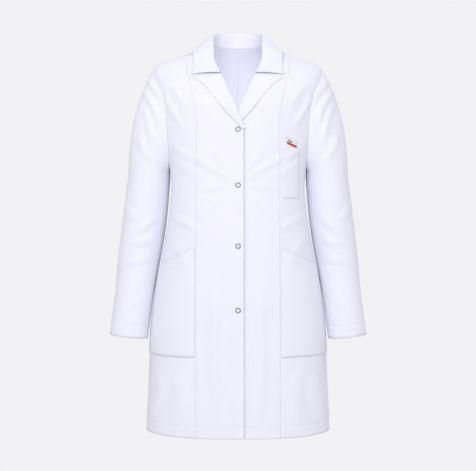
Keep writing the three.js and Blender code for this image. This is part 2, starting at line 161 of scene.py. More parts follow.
# turn and ring number of the front surface at x and z
def frontSpot(x, z):
    x, z = np.broadcast_arrays(np.asarray(x, float), np.asarray(z, float))

    def turnFor(v):
        ring = ringAt(v)
        return np.sign(x) * np.arcsin(np.minimum(1, np.abs(x) / ring[3]) ** (ring[7] / 2))

    low, high = np.zeros(x.shape), np.full(x.shape, float(hemRing))
    for _ in range(34):
        mid = (low + high) / 2
        above = torsoPoint(turnFor(mid), mid)[..., 2] > z
        low = np.where(above, mid, low)
        high = np.where(above, high, mid)
    return turnFor(low), low


sideScan = np.linspace(0, hemRing, 4001)
sideHeights = ringAt(sideScan)[0]
shoulderScan = np.linspace(0, tipRing, 801)
shoulderWidths = ringAt(shoulderScan)[3]


def ringForHeight(z):
    return np.interp(-np.asarray(z), -sideHeights, sideScan)


def ringForShoulder(x):
    return np.interp(x, shoulderWidths, shoulderScan)


def underlapAt(x):
    return -coat["underlap"] * (1 - ease((x + 0.002) / 0.036))


def princessX(z):
    return mix(coat["princess"], coat["princessTop"], ease((z - coat["openingTop"]) / 0.157))


# the roll line, where each front folds back into its lapel
rollTop = (0.051, -0.042)
rollBottom = (-0.011, -0.192)


def rollX(z):
    z = np.asarray(z, float)
    upper = mix(rollTop[0], coat["neckHalf"], (z - rollTop[1]) / -rollTop[1])
    lower = mix(rollTop[0], rollBottom[0], (z - rollTop[1]) / (rollBottom[1] - rollTop[1]))
    return np.where(z > rollTop[1], upper, lower)


# panels as coarse grids of turn and ring number, rows from shoulder to hem

cutting = {
    "armRows": 32, "lowRows": 68, "frontColumns": 18, "sideColumns": 14, "backColumns": 30,
    "headRows": 28, "sleeveRows": 44, "armholeFront": 0.56, "armholeBack": 0.46,
}
armRows = cutting["armRows"]
rowNumber = np.arange(armRows + cutting["lowRows"] + 1)
upper = np.minimum(rowNumber / armRows, 1)
lower = np.clip((rowNumber - armRows) / cutting["lowRows"], 0, 1)
armpitLevel = -0.284


def armholeSpot(share, front):
    swing = np.sqrt(np.maximum(0, np.sin(np.pi * share)))
    turn = np.pi / 2 + np.where(front, -cutting["armholeFront"], cutting["armholeBack"]) * swing
    return turn, mix(tipRing, armpitRing, share)


# shares of the armhole, tip to armpit, that lie evenly along it
def evenShares(front):
    dense = (1 - np.cos(np.pi * np.linspace(0, 1, 3001))) / 2
    path = torsoPoint(*armholeSpot(dense, front))
    length = runLengths(np.linalg.norm(np.diff(path, axis=0), axis=1))
    return np.interp(np.linspace(0, length[-1], armRows + 1), length, dense)


armholeShares = {True: evenShares(True), False: evenShares(False)}


def sideSeam(front):
    share = armholeShares[front][np.minimum(rowNumber, armRows)]
    turn, v = armholeSpot(share, front)
    lowV = ringForHeight(mix(coat["armpit"], hemZ, lower))
    return np.where(lower > 0, np.pi / 2, turn), np.where(lower > 0, lowV, v)


princessTopRing = float(ringForShoulder(coat["princessTop"]))
princessTopZ = float(ringAt(princessTopRing)[0])
princessZ = np.where(lower > 0, mix(armpitLevel, hemZ, lower), mix(princessTopZ, armpitLevel, upper))
princessTurn, princessV = frontSpot(princessX(princessZ), princessZ)
princessTurn[0], princessV[0] = np.pi / 2, princessTopRing


def frontSpots(side):
    edge = -coat["topEdge"] if side < 0 else -coat["underEdge"]
    edgeZ = np.where(lower > 0, mix(armpitLevel, hemZ, lower), mix(0, armpitLevel, upper))
    edgeX = np.where(edgeZ > coat["breakZ"], np.maximum(rollX(edgeZ), edge), edge)
    u = np.linspace(0, 1, cutting["frontColumns"] + 1)[None, :]
    x = mix(edgeX[:, None], princessX(princessZ)[:, None], u)
    z = mix(edgeZ[:, None], princessZ[:, None], u)
    turn, v = frontSpot(x, z)
    turn[0], v[0] = np.pi / 2, ringForShoulder(mix(coat["neckHalf"], coat["princessTop"], u[0]))
    turn[:, -1], v[:, -1] = princessTurn, princessV
    return turn, v


def sideSpots():
    u = np.linspace(0, 1, cutting["sideColumns"] + 1)[None, :]
    sideTurn, sideV = sideSeam(True)
    return mix(princessTurn[:, None], sideTurn[:, None], u), mix(princessV[:, None], sideV[:, None], u)


def backSpots():
    neckShare = 0.4
    u = np.linspace(0, 1, cutting["backColumns"] + 1)[None, :]
    sideTurn, sideV = sideSeam(False)
    backHeights = ringAt(sideScan)[2]
    centreZ = mix(mix(0, coat["armpit"], upper), hemZ, lower)
    centreV = np.interp(-centreZ, -backHeights, sideScan)
    neck = u < neckShare
    topTurn = np.where(neck, mix(np.pi, np.pi / 2, u / neckShare), np.pi / 2)
    topV = np.where(neck, 0, (u - neckShare) / (1 - neckShare) * tipRing)
    fade = 1 - ease(upper)[:, None]
    turn = mix(np.pi, sideTurn[:, None], u) + (topTurn - mix(np.pi, np.pi / 2, u)) * fade
    v = mix(centreV[:, None], sideV[:, None], u) + (topV - mix(0, tipRing, u)) * fade
    return np.clip(turn, np.pi / 2, np.pi), np.maximum(0, v)


sleeve = {
    "centre": [(195, -67, -292), (205, -70, -388), (218, -76, -485), (226, -86, -550),
               (236.5, -100, -638)],
    "bicep": (0.046, 0.057), "cuff": (0.041, 0.042), "swell": 0.004, "cuffLean": 0.117,
}


def sleeveGrid(side):
    share = np.concatenate([armholeShares[True], armholeShares[False][-2::-1]])
    front = np.arange(2 * armRows + 1) <= armRows
    angle = np.pi * np.arange(2 * armRows + 1) / armRows
    turn, v = armholeSpot(share, front)
    start = torsoPoint(turn, v)

    def armRow(row):
        c = curvePoints(np.array(sleeve["centre"]) / 1000, row)
        swell = sleeve["swell"] * math.sin(math.pi * min(1, row * 1.3))
        hx = mix(sleeve["bicep"][0] + swell, sleeve["cuff"][0], ease(row))
        hy = mix(sleeve["bicep"][1], sleeve["cuff"][1], row)
        dx = hx * np.cos(angle)
        return np.stack([c[0] + dx, c[1] - hy * np.sin(angle), c[2] + dx * sleeve["cuffLean"] * row], -1)

    end = armRow(0)
    span = np.linalg.norm(end - start, axis=-1, keepdims=True)
    leave = start + np.array([0.5, 0, -0.87]) * 0.36 * span
    arrive = end + np.array([0, 0, 1]) * 0.33 * span
    rows = []
    for w in np.linspace(0, 1, cutting["headRows"], endpoint=False):
        a, b, c, d = (1 - w) ** 3, 3 * w * (1 - w) ** 2, 3 * w * w * (1 - w), w ** 3
        rows.append(a * start + b * leave + c * arrive + d * end)
    for w in np.linspace(0, 1, cutting["sleeveRows"] + 1):
        rows.append(armRow(w))
    return np.array(rows) * np.array([side, 1, 1])


print("drafting the panels")
sides = [("right", -1), ("left", 1)]
grids = {}
for word, side in sides:
    turn, v = frontSpots(side)
    flatX = torsoPoint(turn, v)[..., 0]
    grids[word + "Front"] = onTorso(side * turn, v, underlapAt(flatX) if side > 0 else 0)
    turn, v = sideSpots()
    grids[word + "Side"] = onTorso(side * turn, v, 0)
    turn, v = backSpots()
    grids[word + "Back"] = onTorso(side * turn, v, 0)
    grids[word + "Sleeve"] = sleeveGrid(side)

# hanging the cloth: the panels are sewn into one and left to settle, each point near its place

hanging = {
    "frames": 24, "quality": 6, "mass": 0.16, "tension": 12.0, "bending": 6.0, "excess": -0.016,
    "smoothing": 9, "reach": 0.009,
}


def holdWeight(p):
    # firm at the shoulders, collar and front edges, loose over the skirt and the arms
    side = abs(p.x)
    firm = 0.40
    firm = max(firm, 0.95 * (1 - min(1, abs(p.z + 0.02 + 0.22 * max(0, side - 0.05)) / 0.05)))
    if p.y < -0.12 and side < 0.05:
        firm = max(firm, 0.93 - 6 * max(0, side - 0.03))
    if p.z > -0.30 and side < 0.15:
        firm = max(firm, 0.62)
    if side > 0.14 and -0.43 < p.z < -0.24:
        firm = max(firm, 0.66)
    if p.z < -0.80:
        firm = max(firm, 0.55)
    return min(1.0, firm)


def linkObject(name, data):
    obj = bpy.data.objects.new(name, data)
    scene.collection.objects.link(obj)
    return obj


def addObject(name, bm):
    mesh = bpy.data.meshes.new(name)
    bm.to_mesh(mesh)
    bm.free()
    return linkObject(name, mesh)


def sewTogether(name, parts):
    bm = bmesh.new()
    for grid in parts:
        rows, columns = grid.shape[:2]
        made = bmesh.ops.create_grid(bm, x_segments=columns - 1, y_segments=rows - 1, size=1)
        for vert, co in zip(made["verts"], grid.reshape(-1, 3)):
            vert.co = co
    bmesh.ops.remove_doubles(bm, verts=bm.verts, dist=0.0003)
    bmesh.ops.recalc_face_normals(bm, faces=bm.faces)
    return addObject(name, bm)


def hangCloth():
    sewn = sewTogether("sewnCoat", list(grids.values()))
    group = sewn.vertex_groups.new(name="hold")
    for vert in sewn.data.vertices:
        group.add([vert.index], holdWeight(vert.co), "REPLACE")
    rest = np.array([vert.co for vert in sewn.data.vertices])
    hang = sewn.modifiers.new("hang", "CLOTH")
    cloth = hang.settings
    cloth.quality = hanging["quality"]
    cloth.mass = hanging["mass"]
    cloth.tension_stiffness = hanging["tension"]
    cloth.compression_stiffness = hanging["tension"]
    cloth.shear_stiffness = hanging["tension"] / 2
    cloth.bending_stiffness = hanging["bending"]
    cloth.vertex_group_mass = "hold"
    cloth.shrink_min = hanging["excess"]
    hang.collision_settings.use_collision = False
    hang.point_cache.frame_start = 1
    hang.point_cache.frame_end = hanging["frames"]
    for step in range(1, hanging["frames"] + 1):
        scene.frame_set(step)
    settled = sewn.evaluated_get(bpy.context.evaluated_depsgraph_get())
    coords = np.empty(len(settled.data.vertices) * 3)
    settled.data.vertices.foreach_get("co", coords)
    moved = coords.reshape(-1, 3) - rest
    ends = np.array([edge.vertices[:] for edge in sewn.data.edges])
    count = np.bincount(ends.ravel(), minlength=len(rest))[:, None]
    for _ in range(hanging["smoothing"]):
        around = np.zeros_like(moved)
        np.add.at(around, ends[:, 0], moved[ends[:, 1]])
        np.add.at(around, ends[:, 1], moved[ends[:, 0]])
        moved = mix(moved, around / count, 0.6)
    print("cloth moved up to", round(float(np.abs(moved).max()), 4))
    far = np.linalg.norm(moved, axis=1, keepdims=True)
    moved *= hanging["reach"] * np.tanh(far / hanging["reach"]) / np.maximum(far, 1e-9)
    tree = kdtree.KDTree(len(rest))
    for k, p in enumerate(rest):
        tree.insert(p, k)
    tree.balance()
    for name, grid in grids.items():
        flat = grid.reshape(-1, 3)
        nearest = [tree.find(p)[1] for p in flat]
        grids[name] = (flat + moved[nearest]).reshape(grid.shape)
    mesh = sewn.data
    bpy.data.objects.remove(sewn)
    bpy.data.meshes.remove(mesh)
    scene.frame_set(1)


print("hanging the cloth")
hangCloth()

# finer grids, with rolled-in seams, creases and hems


def resample(grid, rows, columns):
    down = catmullRom(grid, rows * (grid.shape[0] - 1))
    return catmullRom(down.swapaxes(0, 1), columns * (grid.shape[1] - 1)).swapaxes(0, 1)


def gridNormals(grid, outside):
    n = np.cross(np.gradient(grid, axis=0), np.gradient(grid, axis=1))
    n /= np.maximum(np.linalg.norm(n, axis=-1, keepdims=True), 1e-12)
    flip = np.sign(np.sum(n * outside, axis=-1).mean())
    return n * flip


def gridLengths(grid):
    across = np.linalg.norm(np.diff(grid, axis=1), axis=-1).sum(axis=1).mean()
    down = np.linalg.norm(np.diff(grid, axis=0), axis=-1).sum(axis=0).mean()
    return across, down


# even steps with a few close ones beside the ends that are sewn
def stepsFor(length, step, sewnStart, sewnEnd, lines=()):
    close = np.array([0, 0.0009, 0.0019, 0.0035, 0.006])
    lead = close if sewnStart else np.array([0.0])
    tail = length - close[::-1] if sewnEnd else np.array([length])
    inner = np.arange(lead[-1] + step, tail[0] - step * 0.5, step)
    at = np.concatenate([lead, inner, tail])
    for line in lines:
        at = at[np.abs(at - line) > 0.0016]
        at = np.concatenate([at, [line - 0.0012, line, line + 0.0012]])
    return np.sort(at) / length


def seamDip(distance):
    groove = -0.00045 * np.exp(-(distance / 0.0006) ** 2)
    return groove + 0.00018 * np.exp(-((distance - 0.0030) / 0.002) ** 2)


# soft ridges and hollows along short lines, in mm: start x, z, end x, z, half width, height
creases = {
    "front": [
        (160, -110, 118, -205, 9.5, 2.2), (150, -90, 108, -160, 8.5, 1.6),
        (148, -235, 92, -262, 10, 1.8), (140, -262, 75, -300, 10.5, 1.4),
        (105, -245, 6, -318, 8.5, 2.3), (105, -330, 14, -320, 9, 1.4), (95, -395, 10, -326, 9.5, 1.2),
        (60, -225, 8, -306, 8, 1.9), (142, -372, 80, -425, 12, 2), (150, -420, 100, -500, 14, 1.8),
        (58, -500, 36, -838, 15, 3), (22, -600, 10, -838, 12, 1.6), (120, -690, 135, -835, 20, 2.4),
        (165, -700, 185, -835, 19, 2.6),
    ],
    "back": [
        (150, -100, 105, -220, 12, 2.4), (140, -225, 60, -290, 12, 1.8),
        (130, -330, 40, -360, 11, 2.2), (135, -375, 20, -385, 12, 1.8), (50, -450, 70, -820, 24, 4),
        (120, -430, 150, -830, 22, 3.6), (4, -10, 6, -60, 3, 1), (24, -12, 22, -70, 3.4, 1.2),
    ],
    "sleeve": [
        (196, -75, 166, -135, 9, 3), (206, -95, 170, -190, 10, 3.4), (214, -130, 172, -235, 10, 2.6),
        (222, -200, 178, -275, 11, 2.2), (172, -385, 226, -420, 9, 2.8),
        (176, -428, 238, -440, 9.5, 2.6), (184, -462, 246, -490, 10, 2),
        (250, -350, 205, -400, 11, 1.6), (200, -560, 262, -585, 10, 1.2),
    ],
}


def creaseHeights(points, kind):
    heights = np.zeros(points.shape[:-1])
    spot = np.stack([np.abs(points[..., 0]), points[..., 2]], -1)
    for k, crease in enumerate(np.array(creases[kind]) / 1000):
        start, end, (width, height) = crease[:2], crease[2:4], crease[4:]
        along = end - start
        offset = spot - start
        t = np.sum(offset * along, -1) / along.dot(along)
        wander = 0.35 * width * np.sin(5.0 * t + 1.7 * k)
        across = (offset[..., 0] * along[1] - offset[..., 1] * along[0]) / np.linalg.norm(along)
        d = (across + wander) / width
        fade = ease(t / 0.3) * ease((1 - t) / 0.35)
        lopsided = 1 + 0.35 * np.tanh(1.5 * d)
        heights += height * fade * lopsided * (1.1 - 1.3 * d * d) * np.exp(-d * d)
    return heights


def drapedGrid(name, kind, rows, columns, outside, seams, turned):
    grid = resample(grids[name], rows, columns)
    across, down = gridLengths(grid)
    n = gridNormals(grid, outside(grid))
    lift = creaseHeights(grid, kind)
    u = columns[None, :] * across
    w = rows[:, None] * down
    if seams[0]:
        lift = lift + seamDip(u)
    if seams[1]:
        lift = lift + seamDip(across - u)
    if seams[2]:
        lift = lift + seamDip(w)
    lift = lift - 0.00035 * np.exp(-((down - w - turned) / 0.0011) ** 2)
    # seams pucker a little
    if seams[0] or seams[1]:
        near = np.exp(-u / 0.007) if seams[0] else 0
        near = near + (np.exp(-(across - u) / 0.007) if seams[1] else 0)
        lift = lift + 0.00009 * near * np.sin(w / 0.0021 + 1.3 * np.sin(w / 0.013))
    return grid + n * lift[..., None], n


def fromAxis(grid):
    return (grid - np.array([0, coat["sideY"], 0])) * np.array([1, 1, 0])


def fromSleeve(grid):
    return grid - grid.mean(axis=1, keepdims=True)


print("rolling the seams and pressing the hems")
hemTurn = 0.025
cuffTurn = 0.022
panelStep = 0.0046
# which creases a panel takes, and whether it is sewn at its start, end and top
panelSeams = {
    "Front": ("front", (False, True, False)), "Side": ("front", (True, True, False)),
    "Back": ("back", (True, True, False)), "Sleeve": ("sleeve", (False, False, True)),
}
fine = {}
normals = {}
panelRows = {}
panelColumns = {}
for word, side in sides:
    for part, (kind, sewn) in panelSeams.items():
        name = word + part
        isSleeve = part == "Sleeve"
        turned = cuffTurn if isSleeve else hemTurn
        outside = fromSleeve if isSleeve else fromAxis
        across, down = gridLengths(grids[name])
        rows = stepsFor(down, panelStep, sewn[2], False, [down - turned])
        columns = np.linspace(0, 1, 97) if isSleeve else stepsFor(across, panelStep, sewn[0], sewn[1])
        fine[name], normals[name] = drapedGrid(name, kind, rows, columns, outside, sewn, turned)
        panelRows[name], panelColumns[name] = rows, columns
    fine[name][:, -1] = fine[name][:, 0]

# making the pieces


def sheetFrom(name, grid, outward, closed=False):
    rows, columns = grid.shape[:2]
    n = np.cross(np.gradient(grid, axis=1), np.gradient(grid, axis=0))
    if np.sum(n * outward) < 0:
        grid = grid[::-1]
    lengthsAcross = runLengths(np.linalg.norm(np.diff(grid, axis=1), axis=-1).mean(axis=0))
    lengthsDown = runLengths(np.linalg.norm(np.diff(grid, axis=0), axis=-1).mean(axis=1))
    bm = bmesh.new()
    made = bmesh.ops.create_grid(bm, x_segments=columns - 1, y_segments=rows - 1, size=1)
    uvLayer = bm.loops.layers.uv.new("cloth")
    for k, (vert, co) in enumerate(zip(made["verts"], grid.reshape(-1, 3))):
        vert.co = co
        vert.index = k
    for face in bm.faces:
        face.smooth = True
        for loop in face.loops:
            k = loop.vert.index
            loop[uvLayer].uv = (lengthsAcross[k % columns], lengthsDown[k // columns])
    if closed:
        bmesh.ops.remove_doubles(bm, verts=bm.verts, dist=0.00001)
    return addObject(name, bm)


def thicken(obj, thickness):
    solid = obj.modifiers.new("thickness", "SOLIDIFY")
    solid.thickness = thickness
    solid.offset = -1
    solid.use_even_offset = False
    solid.use_quality_normals = True


def treeOf(*objs):
    bm = bmesh.new()
    for obj in objs:
        bm.from_mesh(obj.data)
    tree = BVHTree.FromBMesh(bm)
    bm.free()
    return tree


def onFront(x, z, lift):
    turn, v = frontSpot(x, z)
    return onTorso(turn, v, lift)


# what is met at x and z, looking straight at the coat
def frontHit(tree, x, z):
    return tree.ray_cast(Vector((x, -0.6, z)), Vector((0, 1, 0)))[:2]


def restOn(tree, x, z, lift):
    hit, n = frontHit(tree, x, z)
    if hit is None:
        return onFront(x, z, lift)
    if n.y > 0:
        n = -n
    return np.array(hit + n * lift)


def rideFront(obj):
    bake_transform(obj)


sleeveBlend = {"place": (0.1856, -0.060, -0.053), "inside": -0.001, "outside": 0.034}


def rideSleeve(obj, side):
    place = Vector(sleeveBlend["place"])
    away = Vector((0.987, 0, -0.158))
    start = place + away * sleeveBlend["inside"]
    end = place + away * sleeveBlend["outside"]
    start.x *= side
    end.x *= side
    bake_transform(obj)


print("cloth materials")


def newMaterial(name):
    mat = bpy.data.materials.new(name)
    mat.use_nodes = True
    nodes = mat.node_tree.nodes
    return mat, nodes, mat.node_tree.links, nodes["Principled BSDF"]


def addNoise(nodes, links, place, scale, detail=2.0):
    noise = nodes.new("ShaderNodeTexNoise")
    noise.inputs["Scale"].default_value = scale
    noise.inputs["Detail"].default_value = detail
    links.new(place, noise.inputs["Vector"])
    return noise


def addRamp(nodes, links, mask, dark, light, socket):
    ramp = nodes.new("ShaderNodeValToRGB")
    ramp.color_ramp.elements[0].color = (*dark, 1)
    ramp.color_ramp.elements[1].color = (*light, 1)
    links.new(mask, ramp.inputs["Fac"])
    links.new(ramp.outputs["Color"], socket)


def addMath(nodes, links, operation, *terms):
    node = nodes.new("ShaderNodeMath")
    node.operation = operation
    for socket, term in zip(node.inputs, terms):
        if isinstance(term, (int, float)):
            socket.default_value = term
        else:
            links.new(term, socket)
    return node.outputs[0]


def addBump(nodes, links, height, strength, distance, socket):
    bump = nodes.new("ShaderNodeBump")
    bump.inputs["Strength"].default_value = strength
    bump.inputs["Distance"].default_value = distance
    links.new(height, bump.inputs["Height"])
    links.new(bump.outputs["Normal"], socket)


# woven cloth: a twill relief, slubs, soft crumples and a faint mottle
def makeWeaveGroup():
    group = bpy.data.node_groups.new("wovenCloth", "ShaderNodeTree")
    face = group.interface
    for socketName, value in (("Threads", 2100.0), ("Relief", 0.5), ("Crumple", 0.5), ("Mottle", 0.02)):
        face.new_socket(socketName, in_out="INPUT", socket_type="NodeSocketFloat").default_value = value
    tint = face.new_socket("Tint", in_out="INPUT", socket_type="NodeSocketColor")
    tint.default_value = (0.9, 0.9, 0.95, 1)
    face.new_socket("Color", in_out="OUTPUT", socket_type="NodeSocketColor")
    face.new_socket("Height", in_out="OUTPUT", socket_type="NodeSocketFloat")
    face.new_socket("Roughness", in_out="OUTPUT", socket_type="NodeSocketFloat")
    nodes, links = group.nodes, group.links
    inputs = nodes.new("NodeGroupInput")
    outputs = nodes.new("NodeGroupOutput")
    uvMap = nodes.new("ShaderNodeUVMap")
    uvMap.uv_map = "cloth"
    place = nodes.new("ShaderNodeTexCoord")

    def calc(operation, *terms):
        return addMath(nodes, links, operation, *terms)

    split = nodes.new("ShaderNodeSeparateXYZ")
    links.new(uvMap.outputs["UV"], split.inputs[0])
    warp = calc("MULTIPLY", split.outputs["X"], inputs.outputs["Threads"])
    weft = calc("MULTIPLY", split.outputs["Y"], inputs.outputs["Threads"])
    diagonal = calc("SINE", calc("MULTIPLY", calc("ADD", warp, weft), 2.2))
    threads = calc("MULTIPLY", calc("SINE", calc("MULTIPLY", warp, 3.1416)),
                    calc("SINE", calc("MULTIPLY", weft, 3.1416)))
    twill = calc("ADD", calc("MULTIPLY", diagonal, 0.6), calc("MULTIPLY", threads, 0.4))
    slub = addNoise(nodes, links, uvMap.outputs["UV"], 420, 3)
    crumple = addNoise(nodes, links, place.outputs["Object"], 26, 4)
    crumple.inputs["Roughness"].default_value = 0.45
    crumple.inputs["Distortion"].default_value = 0.6
    relief = calc("MULTIPLY", calc("ADD", twill, slub.outputs["Fac"]), inputs.outputs["Relief"])
    soft = calc("MULTIPLY", crumple.outputs["Fac"], inputs.outputs["Crumple"])
    links.new(calc("ADD", relief, soft), outputs.inputs["Height"])
    mottle = addNoise(nodes, links, place.outputs["Object"], 9, 5)
    speck = calc("ADD", calc("MULTIPLY", mottle.outputs["Fac"], 0.7),
                  calc("MULTIPLY", slub.outputs["Fac"], 0.3))
    shade = calc("SUBTRACT", speck, 0.5)
    amount = calc("MULTIPLY", shade, inputs.outputs["Mottle"])
    bright = nodes.new("ShaderNodeHueSaturation")
    links.new(inputs.outputs["Tint"], bright.inputs["Color"])
    links.new(calc("ADD", amount, 1.0), bright.inputs["Value"])
    links.new(bright.outputs["Color"], outputs.inputs["Color"])
    rough = calc("ADD", calc("MULTIPLY", slub.outputs["Fac"], 0.12), 0.78)
    links.new(rough, outputs.inputs["Roughness"])
    return group


weaveGroup = makeWeaveGroup()


def addWeave(nodes, tint, **amounts):
    weave = nodes.new("ShaderNodeGroup")
    weave.node_tree = weaveGroup
    for socketName, value in amounts.items():
        weave.inputs[socketName].default_value = value
    weave.inputs["Tint"].default_value = (*tint, 1)
    return weave


cotton = {"tint": (0.872, 0.866, 0.962), "threads": 2100, "mottle": 0.03, "bump": 0.25, "sheen": 0.15}


def clothMaterial(name, relief, crumple):
    mat, nodes, links, shader = newMaterial(name)
    weave = addWeave(nodes, cotton["tint"], Threads=cotton["threads"], Relief=relief, Crumple=crumple,
                     Mottle=cotton["mottle"])
    links.new(weave.outputs["Color"], shader.inputs["Base Color"])
    links.new(weave.outputs["Roughness"], shader.inputs["Roughness"])
    addBump(nodes, links, weave.outputs["Height"], cotton["bump"], 0.0006, shader.inputs["Normal"])
    shader.inputs["Sheen Weight"].default_value = cotton["sheen"]
    shader.inputs["Sheen Roughness"].default_value = 0.5
    shader.inputs["Specular IOR Level"].default_value = 0.2
    return mat


cottonWhite = clothMaterial("cottonWhite", 0.5, 0.5)
cottonCollar = clothMaterial("cottonCollar", 0.6, 0.25)


def metalMaterial():
    mat, nodes, links, shader = newMaterial("brushedSnapMetal")
    place = nodes.new("ShaderNodeTexCoord")
    grain = addNoise(nodes, links, place.outputs["Object"], 900, 5)
    tone = addNoise(nodes, links, place.outputs["Object"], 120)
    addRamp(nodes, links, tone.outputs["Fac"], (0.20, 0.205, 0.215), (0.36, 0.365, 0.38),
            shader.inputs["Base Color"])
    rough = nodes.new("ShaderNodeMapRange")
    rough.inputs["To Min"].default_value = 0.24
    rough.inputs["To Max"].default_value = 0.42
    links.new(grain.outputs["Fac"], rough.inputs["Value"])
    links.new(rough.outputs["Result"], shader.inputs["Roughness"])
    addBump(nodes, links, grain.outputs["Fac"], 0.12, 0.0002, shader.inputs["Normal"])
    shader.inputs["Metallic"].default_value = 1.0
    return mat


snapMetal = metalMaterial()


# the woven tag: white satin, a red band along its foot and one plain grey bar
def tagMaterial(across, down):
    mat, nodes, links, shader = newMaterial("wovenTag")
    uvMap = nodes.new("ShaderNodeUVMap")
    uvMap.uv_map = "cloth"
    split = nodes.new("ShaderNodeSeparateXYZ")
    links.new(uvMap.outputs["UV"], split.inputs[0])

    def within(axis, centre, half):
        return addMath(nodes, links, "COMPARE", split.outputs[axis], centre, half)

    weave = addWeave(nodes, (0.86, 0.87, 0.91), Threads=3200, Relief=0.8, Crumple=0.1, Mottle=0.06)
    colour = weave.outputs["Color"]
    foot = within("Y", 0.0, down * 0.38)
    bar = addMath(nodes, links, "MULTIPLY", within("X", across * 0.36, across * 0.27),
                  within("Y", down * 0.68, down * 0.17))
    for mask, paint in ((foot, (0.62, 0.045, 0.05)), (bar, (0.30, 0.31, 0.34))):
        layer = nodes.new("ShaderNodeMix")
        layer.data_type = "RGBA"
        layer.inputs[7].default_value = (*paint, 1)
        links.new(mask, layer.inputs[0])
        links.new(colour, layer.inputs[6])
        colour = layer.outputs[2]
    links.new(colour, shader.inputs["Base Color"])
    links.new(weave.outputs["Roughness"], shader.inputs["Roughness"])
    addBump(nodes, links, weave.outputs["Height"], 0.4, 0.0004, shader.inputs["Normal"])
    shader.inputs["Sheen Weight"].default_value = 0.2
    return mat


def finishCloth(obj, nodes, material=cottonWhite, thickness=coat["cloth"]):
    obj.data.materials.append(material)
    obj.data.update()
    thicken(obj, thickness)
    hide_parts(*nodes)
    return obj


print("making the body panels")
panelObjs = {}
for word, side in sides:
    panel = sheetFrom(word + "_front_panel", fine[word + "Front"], normals[word + "Front"])
    rideFront(panel)
    panelObjs[word] = finishCloth(panel, [word + "_chest", word + "_front"])
    for part, key, node in (("Side", "side", "_side_front"), ("Back", "back", "_back")):
        panel = sheetFrom(f"{word}_{key}_panel", fine[word + part], normals[word + part])
        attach(panel, "coat_body")
        panelObjs[word + part] = finishCloth(panel, [word + node])
    arm = sheetFrom(word + "_arm_sleeve", fine[word + "Sleeve"], normals[word + "Sleeve"], closed=True)
    rideSleeve(arm, side)
    finishCloth(arm, [word + "_sleeve"])


# folded edges: a second layer turned up inside the hem and the cuffs

turnUp = {"gap": 0.0012, "cloth": 0.0004}


def insideBand(grid, n, depth):
    down = gridLengths(grid)[1]
    share = np.linspace(1 - depth / down, 1, 8)
    band = catmullRom(grid, share * (grid.shape[0] - 1))
    away = catmullRom(n, share * (grid.shape[0] - 1))
    edge = ease((1 - share) / (0.0025 / down))
    return band - away * (turnUp["gap"] * edge + 0.0002)[:, None, None]


print("turning the hems")
for word, side in sides:
    for part, owner in (("Front", None), ("Side", "coat_body"), ("Back", "coat_body"),
                        ("Sleeve", word + "_sleeve")):
        isSleeve = part == "Sleeve"
        depth = cuffTurn if isSleeve else hemTurn
        band = insideBand(fine[word + part], normals[word + part], depth)
        inward = -normals[word + part][-len(band):]
        obj = sheetFrom(f"{word}_{part.lower()}_hem", band, inward, closed=isSleeve)
        obj.data.materials.append(cottonWhite)
        if owner is None:
            rideFront(obj)
        else:
            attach(obj, owner)
        thicken(obj, turnUp["cloth"])


# facings behind the front edges

facing = {"width": 0.052, "behind": 0.0014}
print("facing the front edges")
for word, side in sides:
    edge = -coat["topEdge"] if side < 0 else -coat["underEdge"]
    u = np.linspace(0, 1, 13)[None, :]
    z = np.linspace(coat["openingTop"] - 0.001, hemZ + 0.002, 150)[:, None]
    x = mix(edge + 0.0006, edge + facing["width"], u) + z * 0
    turn, v = frontSpot(x, z + x * 0)
    lap = underlapAt(x) if side > 0 else 0
    strip = onTorso(side * turn, v, lap - facing["behind"])
    tree = treeOf(panelObjs[word])
    for spot in np.ndindex(strip.shape[:2]):
        hit, _ = frontHit(tree, strip[spot][0], strip[spot][2])
        if hit is not None:
            strip[spot][1] = hit.y + facing["behind"]
    obj = sheetFrom(word + "_front_facing", strip, strip * 0 + np.array([0, 1, 0]))
    rideFront(obj)
    finishCloth(obj, [word + "_facing"])


# lapels, turned back along the roll line and resting on the chest

lapel = {
    "gorge": -0.0757, "roll": 0.0016, "lift": 0.0026, "thickness": 0.0011, "rows": 90, "columns": 26,
    "edge": [(0.099, -0.0815), (0.069, -0.106), (0.036, -0.150), (0.017, -0.171), (0.004, -0.184),
             (-0.0100, -0.1995)],
}
print("turning back the lapels")
for word, side in sides:
    tree = treeOf(panelObjs[word])
    w = np.linspace(0, 1, lapel["rows"])
    free = curvePoints(lapel["edge"], w)
    rollZ = mix(lapel["gorge"], coat["breakZ"], w)
    rollEdgeX = rollX(rollZ)
    rows = []
    for k in range(lapel["rows"]):
        row = []
        root = restOn(tree, side * (rollEdgeX[k] + 0.0012), rollZ[k], 0)
        for theta in np.linspace(0, math.pi, 7)[:-1]:
            reach = lapel["roll"] * math.sin(theta)
            rise = lapel["roll"] * (1 - math.cos(theta))
            row.append(root + np.array([-side * (reach + 0.0012), -rise, 0]))
        for u in np.linspace(0, 1, lapel["columns"]):
            x = mix(rollEdgeX[k], free[k, 0], u)
            z = mix(rollZ[k], free[k, 1], u)
            puff = 0.0016 * math.sin(math.pi * min(1, u * 1.4)) * math.sin(math.pi * w[k]) ** 0.5
            lift = mix(2 * lapel["roll"], lapel["lift"], ease(u / 0.5)) + puff
            p = restOn(tree, side * max(x, rollEdgeX[k] + 0.0006), z, lift)
            row.append(np.array([side * x, p[1], z]))
        rows.append(row)
    leaf = np.array(rows)
    obj = sheetFrom(word + "_lapel_leaf", leaf, leaf * 0 + np.array([0, -1, 0]))
    rideFront(obj)
    finishCloth(obj, [word + "_lapel"], cottonCollar, lapel["thickness"])


# the collar in one piece: stand, rolled edge and fall

collar = {"columns": 181, "steps": 6, "thickness": 0.0012, "gorge": -0.0744}


def mirrorHalf(points):
    points = np.array(points)
    return np.concatenate([points, (points[:-1] * np.array([-1, 1, 1]))[::-1]])


